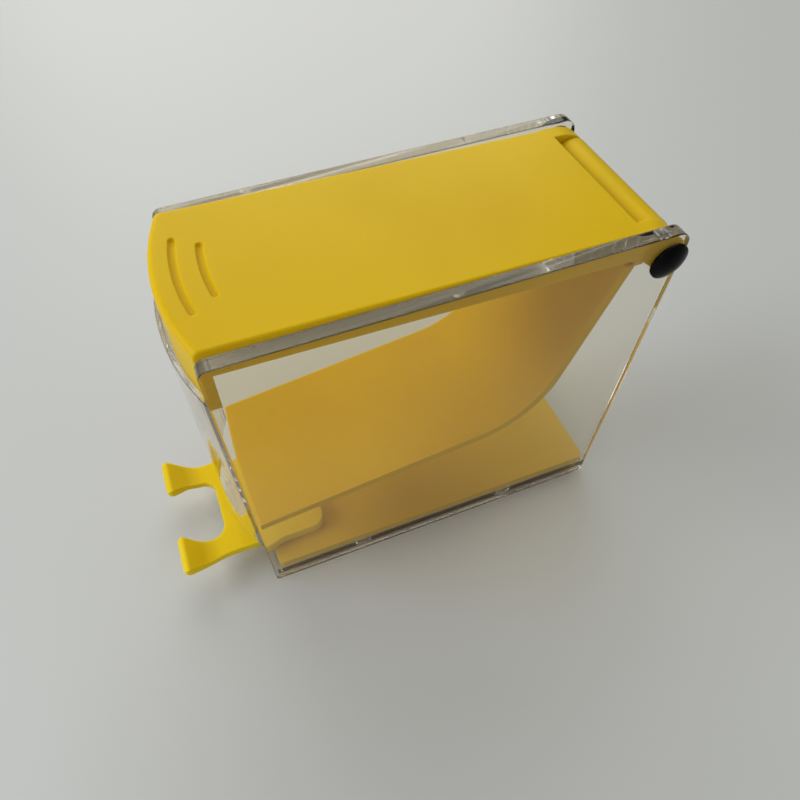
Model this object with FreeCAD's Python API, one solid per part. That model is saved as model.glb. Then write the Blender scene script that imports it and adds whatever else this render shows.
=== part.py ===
import FreeCAD, Part
import math
import os
from FreeCAD import Vector

os.makedirs("parts", exist_ok=True)

# A dispenser for dental cotton rolls. All sizes are in millimetres. Places called "back" are measured
# rearward from the front edges of the side plates, heights from the surface that the case stands on.

# The clear case: two side plates, a bowed front wall and a floor slab in one moulding
inner_width = 41.0
plate_thickness = 3.2
case_length = 100.2
case_height = 93.7
rear_corner_radius = 3.2
front_corner_radius = 2.0
foot_corner_radius = 1.0
slab_rise = 1.2
slab_thickness = 2.8
slab_front = 1.0
wall_thickness = 1.0
wall_bow_top = 5.15
wall_bow_bottom = 6.3
wall_drop = 9.3
mouth_height = 22.8

# The hinge: a steel rod through both plates, with a domed cap on each end
pin_inset = 3.4
pin_drop = 6.6
rod_radius = 1.5
fixed_clearance = 0.03
running_clearance = 0.06
rod_stand_out = 1.2
cap_radius = 4.25
cap_height = 1.8
cap_rim = 0.5
cap_bore_spare = 0.1

# The tray that covers the slab, held by four barbed pegs
side_gap = 0.3
tray_front = 2.0
tray_thickness = 2.6
tray_corner_radius = 1.5
peg_spread = 46.0
peg_side_inset = 3.7
peg_radius = 2.0
peg_clearance = 0.05
barb_lip = 0.4
barb_tip_radius = 1.6
barb_height = 1.3
barb_gap = 0.1
peg_slot = 0.8
peg_recess_radius = 3.3
peg_recess_depth = 1.6

# The cradle: a platform behind, two prongs with turned-up tips in front
cradle_thickness = 3.6
platform_half_width = 14.3
platform_rear = 18.0
platform_corner_radius = 4.0
fork_reach = 22.8
fork_base = 9.5
fork_base_radius = 4.0
fork_root_half_width = 15.7
fork_root_back = 0.6
fork_root_radius = 3.0
waist_outer = 15.2
waist_outer_back = 12.0
waist_outer_radius = 15.0
platform_front = 5.5
waist_inner = 9.6
waist_front = 17.0
waist_radius = 4.5
tip_inner = 6.8
tip_outer = 18.9
tip_corner_radius = 1.4
tip_rise = 3.1
tip_length = 1.6
tip_nose = 1.0
saddle_back = 15.0
saddle_depth = 1.0
saddle_start = 6.0
saddle_radius = 7.0
saddle_thickness = 2.0
underside_back = 14.0
underside_radius = 12.0
root_rise = 1.4
root_back = 1.0
root_radius = 3.0
tip_thickness = 1.4
locator_radius = 1.5
locator_length = 2.0
locator_side = 9.0
locator_back = 10.0
locator_clearance = 0.1

# The lever: a sloping floor that ends in a lip, a steep back and a barrel on the rod
lever_side_gap = 0.8
lever_thickness = 2.2
lip_back = 0.8
lip_height = 28.8
lip_bow = 1.0
floor_slope = 7.4
back_slope = 73.4
bend_radius = 24.0
back_drop = 0.7
back_reach = 6.2
lip_round = 0.6
barrel_radius = 4.7
barrel_side_gap = 0.3
neck_thickness = 3.0
neck_step = 0.1

# The lid: a shallow box open below, with a deep front skirt and two ears on the rod
lid_tilt = 1.35
lid_rise = 5.8
lid_thickness = 2.0
lid_wall_gap = 0.55
rim_height = 5.0
rim_thickness = 1.8
skirt_height = 14.0
skirt_thickness = 2.2
lid_front_round = 1.5
lid_side_round = 0.5
ear_radius = 4.6
ear_crown_slope = 47.5
ear_flat = 3.2
ear_flat_slope = 38.0
recess_half_width = 16.6
recess_reach = 5.1
cross_wall_thickness = 1.8
cross_wall_gap = 0.1
groove_radius = 0.8
groove_depth = 0.65
outer_groove_set_back = 4.9
outer_groove_half_length = 10.5
inner_groove_set_back = 10.2
inner_groove_half_length = 7.3

# The torsion spring in the barrel, and how far the lever turns when the lid is pressed
wire_radius = 0.3
coil_radius = 2.6
coil_pitch = 1.1
coil_turns = 3.5
spring_leg = 5.0
tail_setback = 1.2
tail_past_axis = 1.1
pocket_wall = 0.9
pocket_end_gap = 0.4
leg_groove_gap = 0.35
slot_gap = 0.25
wire_sides = 6
press_angle = 11.0

# How far a cutting form runs past the face that it cuts
cut_past = 1.0

# Worked out from the sizes above. The model's origin is on the surface that the case stands on,
# midway between the fork's tips and the rear of the axle caps.
half_inner = inner_width / 2
half_outer = half_inner + plate_thickness
lever_half_width = half_inner - lever_side_gap
peg_side = half_inner - peg_side_inset
front_y = (fork_reach - case_length - cap_radius + pin_inset) / 2
pin_back = case_length - pin_inset
pin_height = case_height - pin_drop
slab_top = slab_rise + slab_thickness
tray_top = slab_top + tray_thickness
wall_top = case_height - wall_drop
peg_backs = (case_length / 2 - peg_spread / 2, case_length / 2 + peg_spread / 2)
barrel_half_width = recess_half_width - barrel_side_gap
pocket_radius = barrel_radius - pocket_wall
coil_half_length = coil_turns * coil_pitch / 2
pocket_half_length = coil_half_length + wire_radius + pocket_end_gap
half_press = math.radians(press_angle) / 2
back_top = pin_height - back_drop
back_face = pin_back - back_reach
floor_angle = math.radians(floor_slope)
back_angle = math.radians(back_slope)
rise_to_top = back_top - lip_height - (back_face - lip_back) * math.tan(floor_angle)
bend_back = back_face - rise_to_top / (math.tan(back_angle) - math.tan(floor_angle))
bend_height = lip_height + (bend_back - lip_back) * math.tan(floor_angle)
recess_front = pin_back - recess_reach


def place(x, back, height):
    # a point of the model
    return Vector(x, front_y + back, height)


pin = place(0, pin_back, pin_height)
along_x = Vector(1, 0, 0)
up = Vector(0, 0, 1)


def corner_arc(start, corner, end):
    # the arc from start to end that touches both legs of the corner
    back = (start - corner).normalize()
    ahead = (end - corner).normalize()
    half = back.getAngle(ahead) / 2
    radius = (start - corner).Length * math.tan(half)
    middle = corner + (back + ahead).normalize() * (radius / math.sin(half) - radius)
    return Part.Arc(start, middle, end).toShape()


def rounded_outline(corners, radii):
    # a closed outline of straight runs, each corner rounded to its radius
    legs = []
    for index, corner in enumerate(corners):
        back = (corners[index - 1] - corner).normalize()
        ahead = (corners[(index + 1) % len(corners)] - corner).normalize()
        setback = radii[index] / math.tan(back.getAngle(ahead) / 2)
        legs.append((corner + back * setback, corner + ahead * setback))
    edges = []
    for index, corner in enumerate(corners):
        start, end = legs[index]
        if radii[index] > 0:
            edges.append(corner_arc(start, corner, end))
        edges.append(Part.makeLine(end, legs[(index + 1) % len(corners)][0]))
    return Part.Wire(edges)


def across(outline, x_from, x_to):
    # an outline in the YZ plane, made solid from one x to another
    face = Part.Face(outline)
    face.translate(along_x * x_from)
    return face.extrude(along_x * (x_to - x_from))


def upright(outline, z_from, z_to):
    # an outline in the XY plane, made solid from one height to another
    face = Part.Face(outline)
    face.translate(up * z_from)
    return face.extrude(up * (z_to - z_from))


def on_pin(radius, x_from, x_to):
    # a cylinder about the hinge's axis
    return Part.makeCylinder(radius, x_to - x_from, pin + along_x * x_from, along_x)


def mirrored(shape):
    # the same form on the other side of the middle plane
    return shape.mirror(Vector(0, 0, 0), along_x)


def bow_radius(half_width, bow):
    # the radius of an arc from its half chord and its height
    return (half_width ** 2 + bow ** 2) / (2 * bow)


def arc_depth(half_width, radius):
    # how far the ends of an arc lie behind its apex
    return radius - math.sqrt(radius ** 2 - half_width ** 2)


def bowed_plan(half_width, apex, radius, rear):
    # a plan with a bowed front edge: the apex is its foremost place
    bow = arc_depth(half_width, radius)
    left_front = place(-half_width, apex + bow, 0)
    right_front = place(half_width, apex + bow, 0)
    left_rear = place(-half_width, rear, 0)
    right_rear = place(half_width, rear, 0)
    front = Part.Arc(left_front, place(0, apex, 0), right_front).toShape()
    sides = [Part.makeLine(right_front, right_rear), Part.makeLine(right_rear, left_rear)]
    return Part.Wire([front] + sides + [Part.makeLine(left_rear, left_front)])


def wall_bow(height):
    # how far the front wall's outer face stands forward, at a height
    share = (height - mouth_height) / (wall_top - mouth_height)
    return wall_bow_bottom + (wall_bow_top - wall_bow_bottom) * share


def wall_section(height):
    # the front wall's section: an arc through the plates' outer front corners, and one parallel to it
    bow = wall_bow(height)
    outer_radius = bow_radius(half_outer, bow)
    shrink = 1 - wall_thickness / outer_radius
    centre = place(0, outer_radius - bow, height)
    corners = [place(-half_outer, 0, height), place(half_outer, 0, height)]
    inner = [centre + (corner - centre) * shrink for corner in corners]
    apex = place(0, -bow, height)
    edges = [Part.Arc(corners[0], apex, corners[1]).toShape()]
    edges.append(Part.makeLine(corners[1], inner[1]))
    edges.append(Part.Arc(inner[1], centre + (apex - centre) * shrink, inner[0]).toShape())
    edges.append(Part.makeLine(inner[0], corners[0]))
    return Part.Wire(edges)


def side_plate():
    corners = [place(0, 0, 0), place(0, case_length, 0)]
    corners += [place(0, case_length, case_height), place(0, 0, case_height)]
    radii = [foot_corner_radius, foot_corner_radius, rear_corner_radius, front_corner_radius]
    return across(rounded_outline(corners, radii), half_inner, half_outer)


def slab():
    # the slab runs into both plates
    half = half_inner + plate_thickness / 2
    corner = place(-half, slab_front, slab_rise)
    return Part.makeBox(2 * half, case_length - slab_front, slab_thickness, corner)


def peg_bore(x, back):
    # a stepped hole: a bore for the peg's shank over a wider recess for its barb
    foot = place(x, back, slab_rise)
    recess = Part.makeCylinder(peg_recess_radius, peg_recess_depth, foot, up)
    return recess.fuse(Part.makeCylinder(peg_radius + peg_clearance, slab_thickness, foot, up))


def clear_case():
    wall = Part.makeLoft([wall_section(mouth_height), wall_section(wall_top)], True, True)
    plate = side_plate()
    body = plate.fuse([mirrored(plate), slab(), wall]).removeSplitter()
    bores = [on_pin(rod_radius + fixed_clearance, -half_outer - cut_past, half_outer + cut_past)]
    bores += [peg_bore(x, back) for x in (-peg_side, peg_side) for back in peg_backs]
    return body.cut(bores)


def peg(x, back):
    # a shank with a barbed end, slotted so that it can snap through the bore
    ledge = slab_rise + peg_recess_depth
    shank_foot = place(x, back, ledge - barb_gap)
    shank = Part.makeCylinder(peg_radius, slab_top - shank_foot.z, shank_foot, up)
    barb_foot = shank_foot - up * barb_height
    barb = Part.makeCone(barb_tip_radius, peg_radius + barb_lip, barb_height, barb_foot, up)
    corner = barb_foot - Vector(peg_slot / 2, 2 * peg_radius, 0)
    slot = Part.makeBox(peg_slot, 4 * peg_radius, barb_height + barb_gap, corner)
    return shank.fuse(barb).cut(slot)


def floor_tray():
    half = half_inner - side_gap
    corners = [place(-half, tray_front, 0), place(half, tray_front, 0)]
    corners += [place(half, case_length, 0), place(-half, case_length, 0)]
    plate = upright(rounded_outline(corners, [tray_corner_radius] * 4), slab_top, tray_top)
    pegs = [peg(x, back) for x in (-peg_side, peg_side) for back in peg_backs]
    holes = [locator(x, locator_clearance) for x in (-locator_side, locator_side)]
    return plate.fuse(pegs).cut(holes)


def locator(x, clearance):
    # a short pin under the cradle, or the hole for it in the tray
    depth = locator_length + clearance
    foot = place(x, locator_back, tray_top - depth)
    return Part.makeCylinder(locator_radius + clearance, depth, foot, up)


def cradle_plan():
    # the right half from the middle of the rear edge round to the slot's base, then its mirror image
    half = [(platform_half_width, platform_rear, platform_corner_radius)]
    half.append((platform_half_width, platform_front, fork_root_radius))
    half.append((fork_root_half_width, fork_root_back, fork_root_radius))
    half.append((waist_outer, -waist_outer_back, waist_outer_radius))
    half.append((tip_outer, -fork_reach, tip_corner_radius))
    half.append((tip_inner, -fork_reach, tip_corner_radius))
    half.append((waist_inner, -waist_front, waist_radius))
    half.append((waist_inner, -fork_base, fork_base_radius))
    both = half + [(-x, back, radius) for x, back, radius in reversed(half)]
    corners = [place(x, back, 0) for x, back, radius in both]
    return rounded_outline(corners, [radius for x, back, radius in both])


def cradle_profile():
    # seen from the side: a flat platform, a shallow saddle and a turned-up tip
    top = tray_top + cradle_thickness
    tip_top = top + tip_rise
    outline = [(platform_rear, tray_top, 0), (platform_rear, top, 0), (-saddle_start, top, saddle_radius)]
    outline.append((-saddle_back, top - saddle_depth, saddle_radius))
    outline.append((-fork_reach + tip_length, tip_top, tip_nose))
    outline.append((-fork_reach, tip_top - tip_length / 2, tip_nose))
    outline.append((-fork_reach, tip_top - tip_length / 2 - tip_thickness, tip_nose))
    outline.append((-underside_back, top - saddle_depth - saddle_thickness, underside_radius))
    outline.append((-root_back, tray_top + root_rise, root_radius))
    outline.append((tray_front, tray_top, 0))
    corners = [place(0, back, height) for back, height, radius in outline]
    return rounded_outline(corners, [radius for back, height, radius in outline])


def roll_cradle():
    plan = upright(cradle_plan(), tray_top, tray_top + cradle_thickness + tip_rise)
    body = plan.common(across(cradle_profile(), -tip_outer, tip_outer))
    return body.fuse([locator(x, 0) for x in (-locator_side, locator_side)])


def lever_profile():
    # seen from the side: the bent plate, its lower and rear face first
    bend = place(0, bend_back, bend_height)
    inward = math.radians((floor_slope + back_slope) / 2 + 90)
    inner_shift = lever_thickness / math.cos((back_angle - floor_angle) / 2)
    inner_bend = bend + Vector(0, math.cos(inward), math.sin(inward)) * inner_shift
    inner_top = (back_top - inner_bend.z) / math.tan(back_angle)
    reach = lip_bow / math.cos(floor_angle)
    floor_run = Vector(0, math.cos(floor_angle), math.sin(floor_angle))
    lip = place(0, lip_back, lip_height) - floor_run * reach
    inner_lip = lip + Vector(0, -floor_run.z, floor_run.y) * lever_thickness
    corners = [lip, bend, place(0, back_face, back_top)]
    corners += [inner_bend + Vector(0, inner_top, back_top - inner_bend.z), inner_bend, inner_lip]
    return rounded_outline(corners, [0, bend_radius, 0, 0, bend_radius - lever_thickness, 0])


def barrel():
    body = on_pin(barrel_radius, -barrel_half_width, barrel_half_width)
    neck_top = back_top - neck_step
    neck_front = back_face - lever_thickness / 2
    corner = place(-barrel_half_width, neck_front, neck_top - neck_thickness)
    return body.fuse(Part.makeBox(2 * barrel_half_width, pin_back - neck_front, neck_thickness, corner))


def spring_pocket():
    # round inside the barrel, open to the rear below, with a groove for the spring's leg
    pocket = on_pin(pocket_radius, -pocket_half_length, pocket_half_length)
    reach = 2 * barrel_radius
    window_corner = pin + Vector(-pocket_half_length, 0, -reach)
    window = Part.makeBox(2 * pocket_half_length, reach, reach, window_corner)
    groove_half = wire_radius + leg_groove_gap
    groove_top = pin_height - coil_radius + wire_radius + fixed_clearance
    groove_x = spring_start().x - groove_half - leg_shift() / 2
    groove_corner = Vector(groove_x, pin.y - spring_leg - leg_groove_gap, groove_top - reach)
    groove = Part.makeBox(2 * groove_half, spring_leg + leg_groove_gap, reach, groove_corner)
    return pocket.fuse([window, groove])


def ramp_lever():
    plate = across(lever_profile(), -lever_half_width, lever_half_width)
    lip_radius = bow_radius(lever_half_width, lip_bow)
    plan = bowed_plan(lever_half_width, lip_back - lip_bow, lip_radius, case_length)
    plate = plate.common(upright(plan, 0, case_height))
    lip_edges = [edge for edge in plate.Edges if is_lip_edge(edge)]
    plate = plate.makeFillet(lip_round, lip_edges)
    body = plate.fuse(barrel()).removeSplitter()
    bore = on_pin(rod_radius + running_clearance, -half_inner, half_inner)
    return body.cut([bore, spring_pocket()])


def is_lip_edge(edge):
    # the two long curved edges along the front of the floor
    box = edge.BoundBox
    return box.XLength > lever_half_width and box.YMax < place(0, lip_back + lever_thickness, 0).y


def ear_outline():
    # seen from the side: an arm under the lid's top plane that rolls over to a round about the rod,
    # with a flat in front
    top = pin_height + lid_rise
    rim_bottom = top - rim_height
    slope = math.radians(ear_flat_slope)
    flat_run = Vector(0, math.cos(slope), -math.sin(slope))
    foot = pin + Vector(0, -math.sin(slope), -math.cos(slope)) * ear_flat
    flat_low = foot + flat_run * math.sqrt(ear_radius ** 2 - ear_flat ** 2)
    flat_high = foot + flat_run * ((foot.z - rim_bottom) / math.sin(slope))
    arm_back = recess_front - cross_wall_thickness
    arm_low = place(0, arm_back, rim_bottom)
    arm_high = place(0, arm_back, top)
    crown = math.radians(ear_crown_slope)
    touch = pin + Vector(0, math.cos(crown), math.sin(crown)) * ear_radius
    corner_reach = (ear_radius - lid_rise * math.sin(crown)) / math.cos(crown)
    corner = pin + Vector(0, corner_reach, lid_rise)
    roll_start = corner - Vector(0, (touch - corner).Length, 0)
    edges = [Part.makeLine(arm_high, roll_start), corner_arc(roll_start, corner, touch)]
    edges.append(Part.Arc(touch, pin + Vector(0, ear_radius, 0), flat_low).toShape())
    edges.append(Part.makeLine(flat_low, flat_high))
    edges.append(Part.makeLine(flat_high, arm_low))
    edges.append(Part.makeLine(arm_low, arm_high))
    return Part.Wire(edges)


def groove(set_back, half_length, lid_front, lid_radius):
    # a round-bottomed groove with round ends, on the same centre as the lid's front edge
    radius = lid_radius - set_back
    axis = place(0, lid_front + lid_radius, pin_height + lid_rise + groove_radius - groove_depth)
    half_turn = math.degrees(math.asin(half_length / radius))
    section = Part.Face(Part.Wire(Part.makeCircle(groove_radius, axis - Vector(0, radius, 0), along_x)))
    body = section.revolve(axis, up, 2 * half_turn)
    body.rotate(axis, up, -half_turn)
    for side in (-half_turn, half_turn):
        end = Part.makeSphere(groove_radius, axis - Vector(0, radius, 0), up)
        end.rotate(axis, up, side)
        body = body.fuse(end)
    return body


def lid():
    # made level, then turned about the rod to its closed slope
    top = pin_height + lid_rise
    half_width = half_inner - side_gap
    lid_front = wall_thickness - wall_bow(wall_top) + lid_wall_gap
    lid_radius = bow_radius(half_outer, wall_bow_top) - wall_thickness
    skirt_radius = lid_radius - skirt_thickness
    cross_front = recess_front - cross_wall_thickness
    blank = upright(bowed_plan(half_width, lid_front, lid_radius, recess_front), top - skirt_height, top)
    blank = blank.makeFillet(lid_front_round, [edge for edge in top_edges(blank, top) if is_bowed(edge)])
    blank = blank.makeFillet(lid_side_round, [edge for edge in top_edges(blank, top) if runs_back(edge)])
    inside = bowed_plan(half_width - rim_thickness, lid_front + skirt_thickness, skirt_radius, cross_front)
    hollow = upright(inside, top - 2 * skirt_height, top - lid_thickness)
    below = bowed_plan(half_inner, lid_front + skirt_thickness, skirt_radius, recess_front + cut_past)
    under_rims = upright(below, top - 2 * skirt_height, top - rim_height)
    rest = back_top + cross_wall_gap
    cross_corner = place(-half_width, cross_front, rest)
    cross_wall = Part.makeBox(2 * half_width, cross_wall_thickness, top - rim_height / 2 - rest, cross_corner)
    ear = across(ear_outline(), recess_half_width, half_width)
    body = blank.cut([hollow, under_rims]).fuse([cross_wall, ear, mirrored(ear)]).removeSplitter()
    bore = on_pin(rod_radius + running_clearance, -half_inner, half_inner)
    grooves = [groove(outer_groove_set_back, outer_groove_half_length, lid_front, lid_radius)]
    grooves.append(groove(inner_groove_set_back, inner_groove_half_length, lid_front, lid_radius))
    body = body.cut([bore] + grooves)
    body.rotate(pin, along_x, -lid_tilt)
    return body


def top_edges(shape, top):
    return [edge for edge in shape.Edges if min(vertex.Z for vertex in edge.Vertexes) > top - 0.001]


def is_bowed(edge):
    return isinstance(edge.Curve, Part.Circle)


def runs_back(edge):
    return isinstance(edge.Curve, Part.Line) and abs(edge.tangentAt(edge.FirstParameter).y) > 0.9


def hinge_rod():
    end = half_outer + rod_stand_out
    body = on_pin(rod_radius, -end, end)
    return body.cut(tail_slot())


def axle_cap():
    # the right-hand cap: a low dome with a blind bore that grips the rod's end
    start = Vector(half_outer, 0, 0)
    rim = Vector(half_outer, cap_radius, 0)
    shoulder = Vector(half_outer + cap_rim, cap_radius, 0)
    top = Vector(half_outer + cap_height, 0, 0)
    dome_radius = bow_radius(cap_radius, cap_height - cap_rim)
    centre_x = half_outer + cap_height - dome_radius
    half_angle = math.asin(cap_radius / dome_radius) / 2
    middle = Vector(centre_x + dome_radius * math.cos(half_angle), dome_radius * math.sin(half_angle), 0)
    edges = [Part.makeLine(start, rim), Part.makeLine(rim, shoulder)]
    edges.append(Part.Arc(shoulder, middle, top).toShape())
    edges.append(Part.makeLine(top, start))
    dome = Part.Face(Part.Wire(edges)).revolve(Vector(0, 0, 0), along_x, 360)
    dome.translate(Vector(0, pin.y, pin.z))
    depth = rod_stand_out + cap_bore_spare
    return dome.cut(on_pin(rod_radius + fixed_clearance, half_outer, half_outer + depth))


def helix_point(turn):
    # a place on the coil's centre line, and its direction there; turn 0 is at the bottom
    angle = 2 * math.pi * (turn - 0.25)
    spot = pin + Vector(turn * coil_pitch - coil_half_length, 0, 0)
    spot += Vector(0, math.cos(angle), math.sin(angle)) * coil_radius
    rate = coil_pitch / (2 * math.pi * coil_radius)
    return spot, Vector(rate, -math.sin(angle), math.cos(angle)).normalize()


def spring_start():
    return helix_point(0)[0]


def leg_shift():
    # how far the leg drifts sideways over its length
    return helix_point(0)[1].x * spring_leg


def biarc(first, second):
    # two arcs that leave one point and reach the next in the coil's own directions
    start, out = first
    end, arrive = second
    chord = end - start
    both = out + arrive
    lean = chord.dot(both)
    spare = 4 - both.dot(both)
    reach = (math.sqrt(lean ** 2 + spare * chord.dot(chord)) - lean) / spare
    first_corner = start + out * reach
    second_corner = end - arrive * reach
    joint = (first_corner + second_corner) / 2
    return [corner_arc(start, first_corner, joint), corner_arc(joint, second_corner, end)]


def tail_line():
    # the bend from the coil's end to the rod, and the way across the rod's axis
    end, out = helix_point(coil_turns)
    bend = end + out * tail_setback
    axis = Vector(bend.x, pin.y, pin.z)
    inward = (axis - bend).normalize()
    return end, bend, bend + inward * tail_setback, axis + inward * tail_past_axis


def tail_slot():
    # a cross slot in the rod, turned half the press so that the tail keeps clear at both ends
    end, bend, start, tip = tail_line()
    run = (tip - start).normalize()
    half_width = wire_radius + rod_radius * math.sin(half_press) + slot_gap / 2
    half_x = wire_radius + slot_gap
    length = 4 * rod_radius
    corner = Vector(start.x - half_x, pin.y - half_width, pin.z - length / 2)
    slot = Part.makeBox(2 * half_x, 2 * half_width, length, corner)
    slot.rotate(pin, along_x, math.degrees(math.atan2(-run.y, run.z)) + press_angle / 2)
    return slot


def spring_path():
    first = helix_point(0)
    leg_tip = first[0] - first[1] * spring_leg
    edges = [Part.makeLine(leg_tip, first[0])]
    quarters = int(coil_turns * 4)
    for quarter in range(quarters):
        edges += biarc(helix_point(quarter / 4), helix_point((quarter + 1) / 4))
    end, bend, start, tip = tail_line()
    edges.append(corner_arc(end, bend, start))
    edges.append(Part.makeLine(start, tip))
    return Part.Wire(edges), first[1], leg_tip


def least_gap():
    # the least clear distance between one turn and the next, measured on points of the centre line
    steps = 60
    points = [helix_point(turn / steps)[0] for turn in range(int(coil_turns * steps) + 1)]
    apart = [points[i].distanceToPoint(points[j]) for i in range(len(points))
             for j in range(i + steps // 2, len(points))]
    return min(apart) - 2 * wire_radius


def return_spring():
    path, direction, start = spring_path()
    side = direction.cross(up).normalize()
    turns = [FreeCAD.Rotation(direction, 360 * corner / wire_sides) for corner in range(wire_sides)]
    corners = [start + turn.multVec(side) * wire_radius for turn in turns]
    section = Part.makePolygon(corners + [corners[0]])
    spring = path.makePipeShell([section], True, False)
    print("spring: least gap between turns", round(least_gap(), 2))
    print("spring: volume", round(spring.Volume, 2), "of", round(path.Length * Part.Face(section).Area, 2))
    return spring


nodes = {
    "clear_case": clear_case(),
    "floor_tray": floor_tray(),
    "roll_cradle": roll_cradle(),
    "ramp_lever": ramp_lever(),
    "lid": lid(),
    "hinge_rod": hinge_rod(),
    "right_axle_cap": axle_cap(),
    "left_axle_cap": mirrored(axle_cap()),
    "return_spring": return_spring(),
}
for name, shape in nodes.items():
    shape.exportStep("parts/" + name + ".step")
    print(name, "valid", shape.isValid(), "solids", len(shape.Solids), "volume", round(shape.Volume))
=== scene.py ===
import math
import bpy
from mathutils import Matrix, Vector

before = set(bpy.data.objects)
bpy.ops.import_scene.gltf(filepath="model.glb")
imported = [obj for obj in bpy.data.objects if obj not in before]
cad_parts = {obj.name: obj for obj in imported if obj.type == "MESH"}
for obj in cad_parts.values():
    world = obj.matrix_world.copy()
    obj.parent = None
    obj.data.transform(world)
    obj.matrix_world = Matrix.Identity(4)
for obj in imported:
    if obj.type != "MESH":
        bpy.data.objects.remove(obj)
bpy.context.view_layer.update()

print("frame loaded:", len(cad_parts), "nodes")


def toLinear(hexColour):
    # one place turns a screen colour, as #rrggbb, into the linear values that a shader wants
    channels = [int(hexColour[i:i + 2], 16) / 255 for i in (1, 3, 5)]
    return tuple(c / 12.92 if c <= 0.04045 else ((c + 0.055) / 1.055) ** 2.4 for c in channels) + (1.0,)


def addNode(tree, kind, settings=None, **links):
    # a node with its properties, socket values and incoming links in one call
    node = tree.nodes.new(kind)
    for name, value in (settings or {}).items():
        if hasattr(node, name):
            setattr(node, name, value)
        else:
            node.inputs[name].default_value = value
    for name, source in links.items():
        tree.links.new(source, node.inputs[name.replace("_", " ")])
    return node


def newMaterial(name):
    material = bpy.data.materials.new(name)
    material.use_nodes = True
    material.node_tree.nodes.clear()
    return material, material.node_tree


def finishMaterial(tree, shader):
    addNode(tree, "ShaderNodeOutputMaterial", Surface=shader)


def dress(node, material):
    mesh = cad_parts[node].data
    mesh.materials.clear()
    mesh.materials.append(material)


def patternScale(millimetres):
    # how often a pattern of this width comes in a metre
    return 1000 / millimetres


# how many directions are looked in for each soft edge
edgeSamples = 8

# moulded yellow polystyrene: slightly cloudy and half glossy, and light goes a little way into it, which
# keeps its shaded sides warm; its edges are soft and its faces a little uneven
# in this and the other finishes, widths are in millimetres, radii and depths in metres
yellowPlastic = {
    "name": "mouldedYellowPolystyrene",
    "deepColour": "#d8b210",
    "paleColour": "#e1bd16",
    "cloudWidth": 45.0,
    "cloudDetail": 2.0,
    "cloudRange": (0.3, 0.7),
    "roughness": 0.36,
    "ior": 1.57,
    "sheen": 0.05,
    "glow": 0.45,
    "glowDepth": (0.0026, 0.0019, 0.0002),  # of red, green and blue light
    "rippleWidth": 6.0,
    "rippleDetail": 3.0,
    "rippleDepth": 0.0004,
    "rippleStrength": 0.05,
    "edgeRadius": 0.0004,
}

# the cradle gets a paler copy of the yellow: painted light, standing in for the brighter light that falls
# on its prongs
cradleLitYellow = {"name": "paintedLightPaleYellowPolystyrene", "deepColour": "#e2c318", "paleColour": "#ebcd1f"}


def makeYellowPlastic(s):
    material, tree = newMaterial(s["name"])
    place = addNode(tree, "ShaderNodeTexCoord")
    ripple = addNode(tree, "ShaderNodeTexNoise",
                     {"Scale": patternScale(s["rippleWidth"]), "Detail": s["rippleDetail"]},
                     Vector=place.outputs["Object"])
    softEdge = addNode(tree, "ShaderNodeBevel", {"samples": edgeSamples, "Radius": s["edgeRadius"]})
    bump = addNode(tree, "ShaderNodeBump", {"Strength": s["rippleStrength"], "Distance": s["rippleDepth"]},
                   Height=ripple.outputs["Fac"], Normal=softEdge.outputs["Normal"])
    cloud = addNode(tree, "ShaderNodeTexNoise",
                    {"Scale": patternScale(s["cloudWidth"]), "Detail": s["cloudDetail"]},
                    Vector=place.outputs["Object"])
    colour = addNode(tree, "ShaderNodeValToRGB", Fac=cloud.outputs["Fac"])
    deep, pale = colour.color_ramp.elements
    deep.position, pale.position = s["cloudRange"]
    deep.color = toLinear(s["deepColour"])
    pale.color = toLinear(s["paleColour"])
    shader = addNode(tree, "ShaderNodeBsdfPrincipled",
                     {"Roughness": s["roughness"], "IOR": s["ior"], "Specular IOR Level": s["sheen"],
                      "Subsurface Weight": s["glow"], "Subsurface Radius": s["glowDepth"],
                      "Subsurface Scale": 1.0},
                     Base_Color=colour.outputs["Color"], Normal=bump.outputs["Normal"])
    finishMaterial(tree, shader.outputs["BSDF"])
    return material


# moulded clear polystyrene: colourless with a faint warm tint, bright grey where its faces and edges
# mirror the room, with slow flow waves and soft edges; what is seen through it is bent, while light on
# its way to the things behind it passes straight through
clearPlastic = {
    "colour": "#f6f2e6",
    "passColour": "#f2eee2",
    "roughness": 0.02,
    "ior": 1.57,
    "faceShine": "#707070",  # keeps what the faces mirror from veiling the ramp
    "flowWidth": 22.0,
    "flowDetail": 1.0,
    "flowDepth": 0.0005,
    "flowStrength": 0.04,
    "edgeRadius": 0.0006,
}


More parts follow.
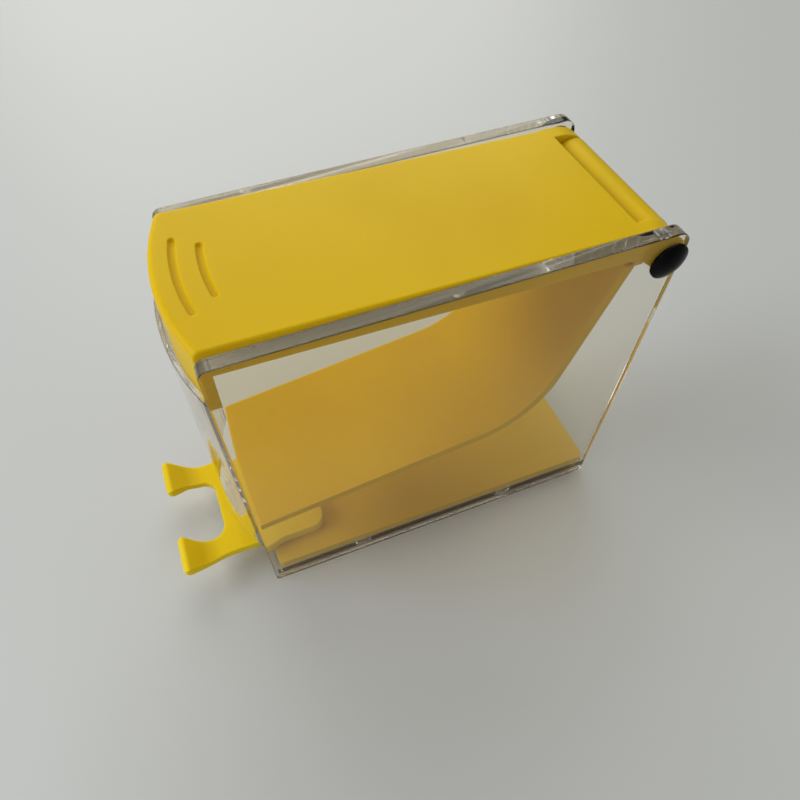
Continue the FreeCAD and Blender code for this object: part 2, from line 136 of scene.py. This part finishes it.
def makeClearPlastic(s):
    material, tree = newMaterial("mouldedClearPolystyrene")
    place = addNode(tree, "ShaderNodeTexCoord")
    flow = addNode(tree, "ShaderNodeTexNoise",
                   {"Scale": patternScale(s["flowWidth"]), "Detail": s["flowDetail"]},
                   Vector=place.outputs["Object"])
    softEdge = addNode(tree, "ShaderNodeBevel", {"samples": edgeSamples, "Radius": s["edgeRadius"]})
    bump = addNode(tree, "ShaderNodeBump", {"Strength": s["flowStrength"], "Distance": s["flowDepth"]},
                   Height=flow.outputs["Fac"], Normal=softEdge.outputs["Normal"])
    shader = addNode(tree, "ShaderNodeBsdfPrincipled",
                     {"Base Color": toLinear(s["colour"]), "Roughness": s["roughness"], "IOR": s["ior"],
                      "Specular Tint": toLinear(s["faceShine"]), "Transmission Weight": 1.0},
                     Normal=bump.outputs["Normal"])
    straight = addNode(tree, "ShaderNodeBsdfTransparent", {"Color": toLinear(s["passColour"])})
    ray = addNode(tree, "ShaderNodeLightPath")
    lightRay = addNode(tree, "ShaderNodeMath", {"operation": "MAXIMUM"})
    tree.links.new(ray.outputs["Is Shadow Ray"], lightRay.inputs[0])
    tree.links.new(ray.outputs["Is Diffuse Ray"], lightRay.inputs[1])
    either = addNode(tree, "ShaderNodeMixShader", Fac=lightRay.outputs["Value"])
    tree.links.new(shader.outputs["BSDF"], either.inputs[1])
    tree.links.new(straight.outputs["BSDF"], either.inputs[2])
    finishMaterial(tree, either.outputs["Shader"])
    return material


# moulded black nylon of the axle caps: deep black with a dull shine, duller in rubbed patches; its grain
# is drawn about ten times coarser than the real one, so that it shows
blackPlastic = {
    "colour": "#040405",
    "rubbedColour": "#0c0c0e",
    "rubWidth": 4.2,
    "rubDetail": 2.0,
    "rubRange": (0.4, 0.75),
    "smooth": 0.1,
    "rubbed": 0.24,
    "ior": 1.53,
    "sheen": 0.06,
    "grainWidth": 1.1,
    "grainDetail": 2.0,
    "grainDepth": 0.0002,
    "grainStrength": 0.06,
}


def makeBlackPlastic(s):
    material, tree = newMaterial("mouldedBlackNylon")
    place = addNode(tree, "ShaderNodeTexCoord")
    rub = addNode(tree, "ShaderNodeTexNoise",
                  {"Scale": patternScale(s["rubWidth"]), "Detail": s["rubDetail"]},
                  Vector=place.outputs["Object"])
    grain = addNode(tree, "ShaderNodeTexNoise",
                    {"Scale": patternScale(s["grainWidth"]), "Detail": s["grainDetail"]},
                    Vector=place.outputs["Object"])
    colour = addNode(tree, "ShaderNodeValToRGB", Fac=rub.outputs["Fac"])
    plain, worn = colour.color_ramp.elements
    plain.position, worn.position = s["rubRange"]
    plain.color = toLinear(s["colour"])
    worn.color = toLinear(s["rubbedColour"])
    gloss = addNode(tree, "ShaderNodeMapRange", {"To Min": s["smooth"], "To Max": s["rubbed"]},
                    Value=rub.outputs["Fac"])
    bump = addNode(tree, "ShaderNodeBump", {"Strength": s["grainStrength"], "Distance": s["grainDepth"]},
                   Height=grain.outputs["Fac"])
    shader = addNode(tree, "ShaderNodeBsdfPrincipled",
                     {"IOR": s["ior"], "Specular IOR Level": s["sheen"]},
                     Base_Color=colour.outputs["Color"], Roughness=gloss.outputs["Result"],
                     Normal=bump.outputs["Normal"])
    finishMaterial(tree, shader.outputs["BSDF"])
    return material


# drawn steel of the hinge rod and the spring: grey metal with fine dull lines along the rod, which lies
# across the case; the lines are drawn about twenty times coarser than the real ones, so that they show
drawnSteel = {
    "colour": "#b9bbbd",
    "lineWidth": 0.45,
    "lineDetail": 2.0,
    "lineStretch": 0.02,
    "lineDepth": 0.0001,
    "lineStrength": 0.12,
    "smooth": 0.22,
    "scored": 0.38,
}


def makeDrawnSteel(s):
    material, tree = newMaterial("drawnSteel")
    place = addNode(tree, "ShaderNodeTexCoord")
    along = addNode(tree, "ShaderNodeMapping", {"Scale": (s["lineStretch"], 1.0, 1.0)},
                    Vector=place.outputs["Object"])
    lines = addNode(tree, "ShaderNodeTexNoise",
                    {"Scale": patternScale(s["lineWidth"]), "Detail": s["lineDetail"]},
                    Vector=along.outputs["Vector"])
    gloss = addNode(tree, "ShaderNodeMapRange", {"To Min": s["smooth"], "To Max": s["scored"]},
                    Value=lines.outputs["Fac"])
    bump = addNode(tree, "ShaderNodeBump", {"Strength": s["lineStrength"], "Distance": s["lineDepth"]},
                   Height=lines.outputs["Fac"])
    shader = addNode(tree, "ShaderNodeBsdfPrincipled",
                     {"Base Color": toLinear(s["colour"]), "Metallic": 1.0},
                     Roughness=gloss.outputs["Result"], Normal=bump.outputs["Normal"])
    finishMaterial(tree, shader.outputs["BSDF"])
    return material


yellow = makeYellowPlastic(yellowPlastic)
# the cradle's paler copy of the yellow is painted light for the brighter light on its prongs
paintedLightYellow = makeYellowPlastic({**yellowPlastic, **cradleLitYellow})
clear = makeClearPlastic(clearPlastic)
black = makeBlackPlastic(blackPlastic)
steel = makeDrawnSteel(drawnSteel)
finishes = {
    "clear_case": clear,
    "floor_tray": yellow,
    "roll_cradle": paintedLightYellow,
    "ramp_lever": yellow,
    "lid": yellow,
    "right_axle_cap": black,
    "left_axle_cap": black,
    "hinge_rod": steel,
    "return_spring": steel,
}
for node, material in finishes.items():
    dress(node, material)
print("materials on", len(finishes), "carried-over nodes")

# a plain table of pale grey laminate with a dull shine; it lies a fifth of a millimetre below the case,
# so that no two faces share a plane
table = {"size": 6.0, "colour": "#c9cbc8", "roughness": 0.45, "drop": 0.0002}


def makeTable(s):
    half = s["size"] / 2
    mesh = bpy.data.meshes.new("table")
    corners = [(x, y, -s["drop"]) for x, y in ((-half, -half), (half, -half), (half, half), (-half, half))]
    mesh.from_pydata(corners, [], [(0, 1, 2, 3)])
    floor = bpy.data.objects.new("table", mesh)
    bpy.context.scene.collection.objects.link(floor)
    material, tree = newMaterial("paleLaminate")
    shader = addNode(tree, "ShaderNodeBsdfPrincipled",
                     {"Base Color": toLinear(s["colour"]), "Roughness": s["roughness"]})
    finishMaterial(tree, shader.outputs["BSDF"])
    mesh.materials.append(material)


makeTable(table)
print("table")

# soft light: a pale room, a wide window and a smaller one beside the object and a pale wall opposite
# that throws light back; places and sizes are in metres, energies in watts
room = {"colour": "#eceef0", "strength": 0.31}
windows = {
    "wideWindow": {"place": (-1.3, 0.3, 1.0), "size": 1.4, "energy": 14.5, "colour": "#fffdf6"},
    "sideWindow": {"place": (-0.3, -1.15, 0.8), "size": 0.9, "energy": 12.0, "colour": "#f8faff"},
    "paleWall": {"place": (1.1, -0.45, 0.5), "size": 1.2, "energy": 3.2, "colour": "#fffaf0"},
}
litPlace = (0, 0, 0.04)  # inside the case, a little below its middle


def makeRoom(s):
    world = bpy.data.worlds.new("room")
    bpy.context.scene.world = world
    world.use_nodes = True
    tree = world.node_tree
    tree.nodes.clear()
    shader = addNode(tree, "ShaderNodeBackground",
                     {"Color": toLinear(s["colour"]), "Strength": s["strength"]})
    addNode(tree, "ShaderNodeOutputWorld", Surface=shader.outputs["Background"])


def makeWindow(name, s):
    lamp = bpy.data.lights.new(name, "AREA")
    lamp.size = s["size"]
    lamp.energy = s["energy"]
    lamp.color = toLinear(s["colour"])[:3]
    holder = bpy.data.objects.new(name, lamp)
    place = Vector(s["place"])
    holder.location = place
    holder.rotation_euler = (Vector(litPlace) - place).to_track_quat("-Z", "Y").to_euler()
    bpy.context.scene.collection.objects.link(holder)


makeRoom(room)
for name, settings in windows.items():
    makeWindow(name, settings)

# the camera stands where the photograph was taken; focal length, frame and image centre are in pixels,
# angles in radians, places in metres
photoCamera = {
    "focal": 632.3,
    "frame": 800,
    "centre": (383.3, 417.2),
    "azimuth": 1.2179,
    "elevation": 0.9591,
    "roll": -0.0195,
    "place": (0.09747, -0.03283, 0.17608),
    "sensorWidth": 36.0,  # millimetres
    "nearest": 0.01,
    "farthest": 20.0,
}


def makeCamera(s):
    data = bpy.data.cameras.new("photoCamera")
    data.sensor_width = s["sensorWidth"]
    data.lens = s["focal"] / s["frame"] * s["sensorWidth"]
    half = s["frame"] / 2
    data.shift_x = (half - s["centre"][0]) / s["frame"]
    data.shift_y = (s["centre"][1] - half) / s["frame"]
    data.clip_start = s["nearest"]
    data.clip_end = s["farthest"]
    azimuth, elevation, roll = s["azimuth"], s["elevation"], s["roll"]
    level = math.cos(elevation)
    look = Vector((-math.sin(azimuth) * level, math.cos(azimuth) * level, -math.sin(elevation)))
    right = look.cross(Vector((0, 0, 1))).normalized()
    top = right.cross(look)
    turnedRight = math.cos(roll) * right + math.sin(roll) * top
    turnedTop = -math.sin(roll) * right + math.cos(roll) * top
    camera = bpy.data.objects.new("photoCamera", data)
    axes = Matrix((turnedRight, turnedTop, -look)).transposed()
    camera.matrix_world = Matrix.Translation(s["place"]) @ axes.to_4x4()
    bpy.context.scene.collection.objects.link(camera)
    bpy.context.scene.camera = camera


makeCamera(photoCamera)

# light runs along inside the clear plates and is thrown back many times; with fewer turns they go dark
lightTurns = {
    "max_bounces": 28,
    "transmission_bounces": 28,
    "glossy_bounces": 28,
    "transparent_max_bounces": 24,
}
for name, value in lightTurns.items():
    setattr(bpy.context.scene.cycles, name, value)
bpy.context.scene.view_settings.view_transform = "Standard"
print("lights and camera")
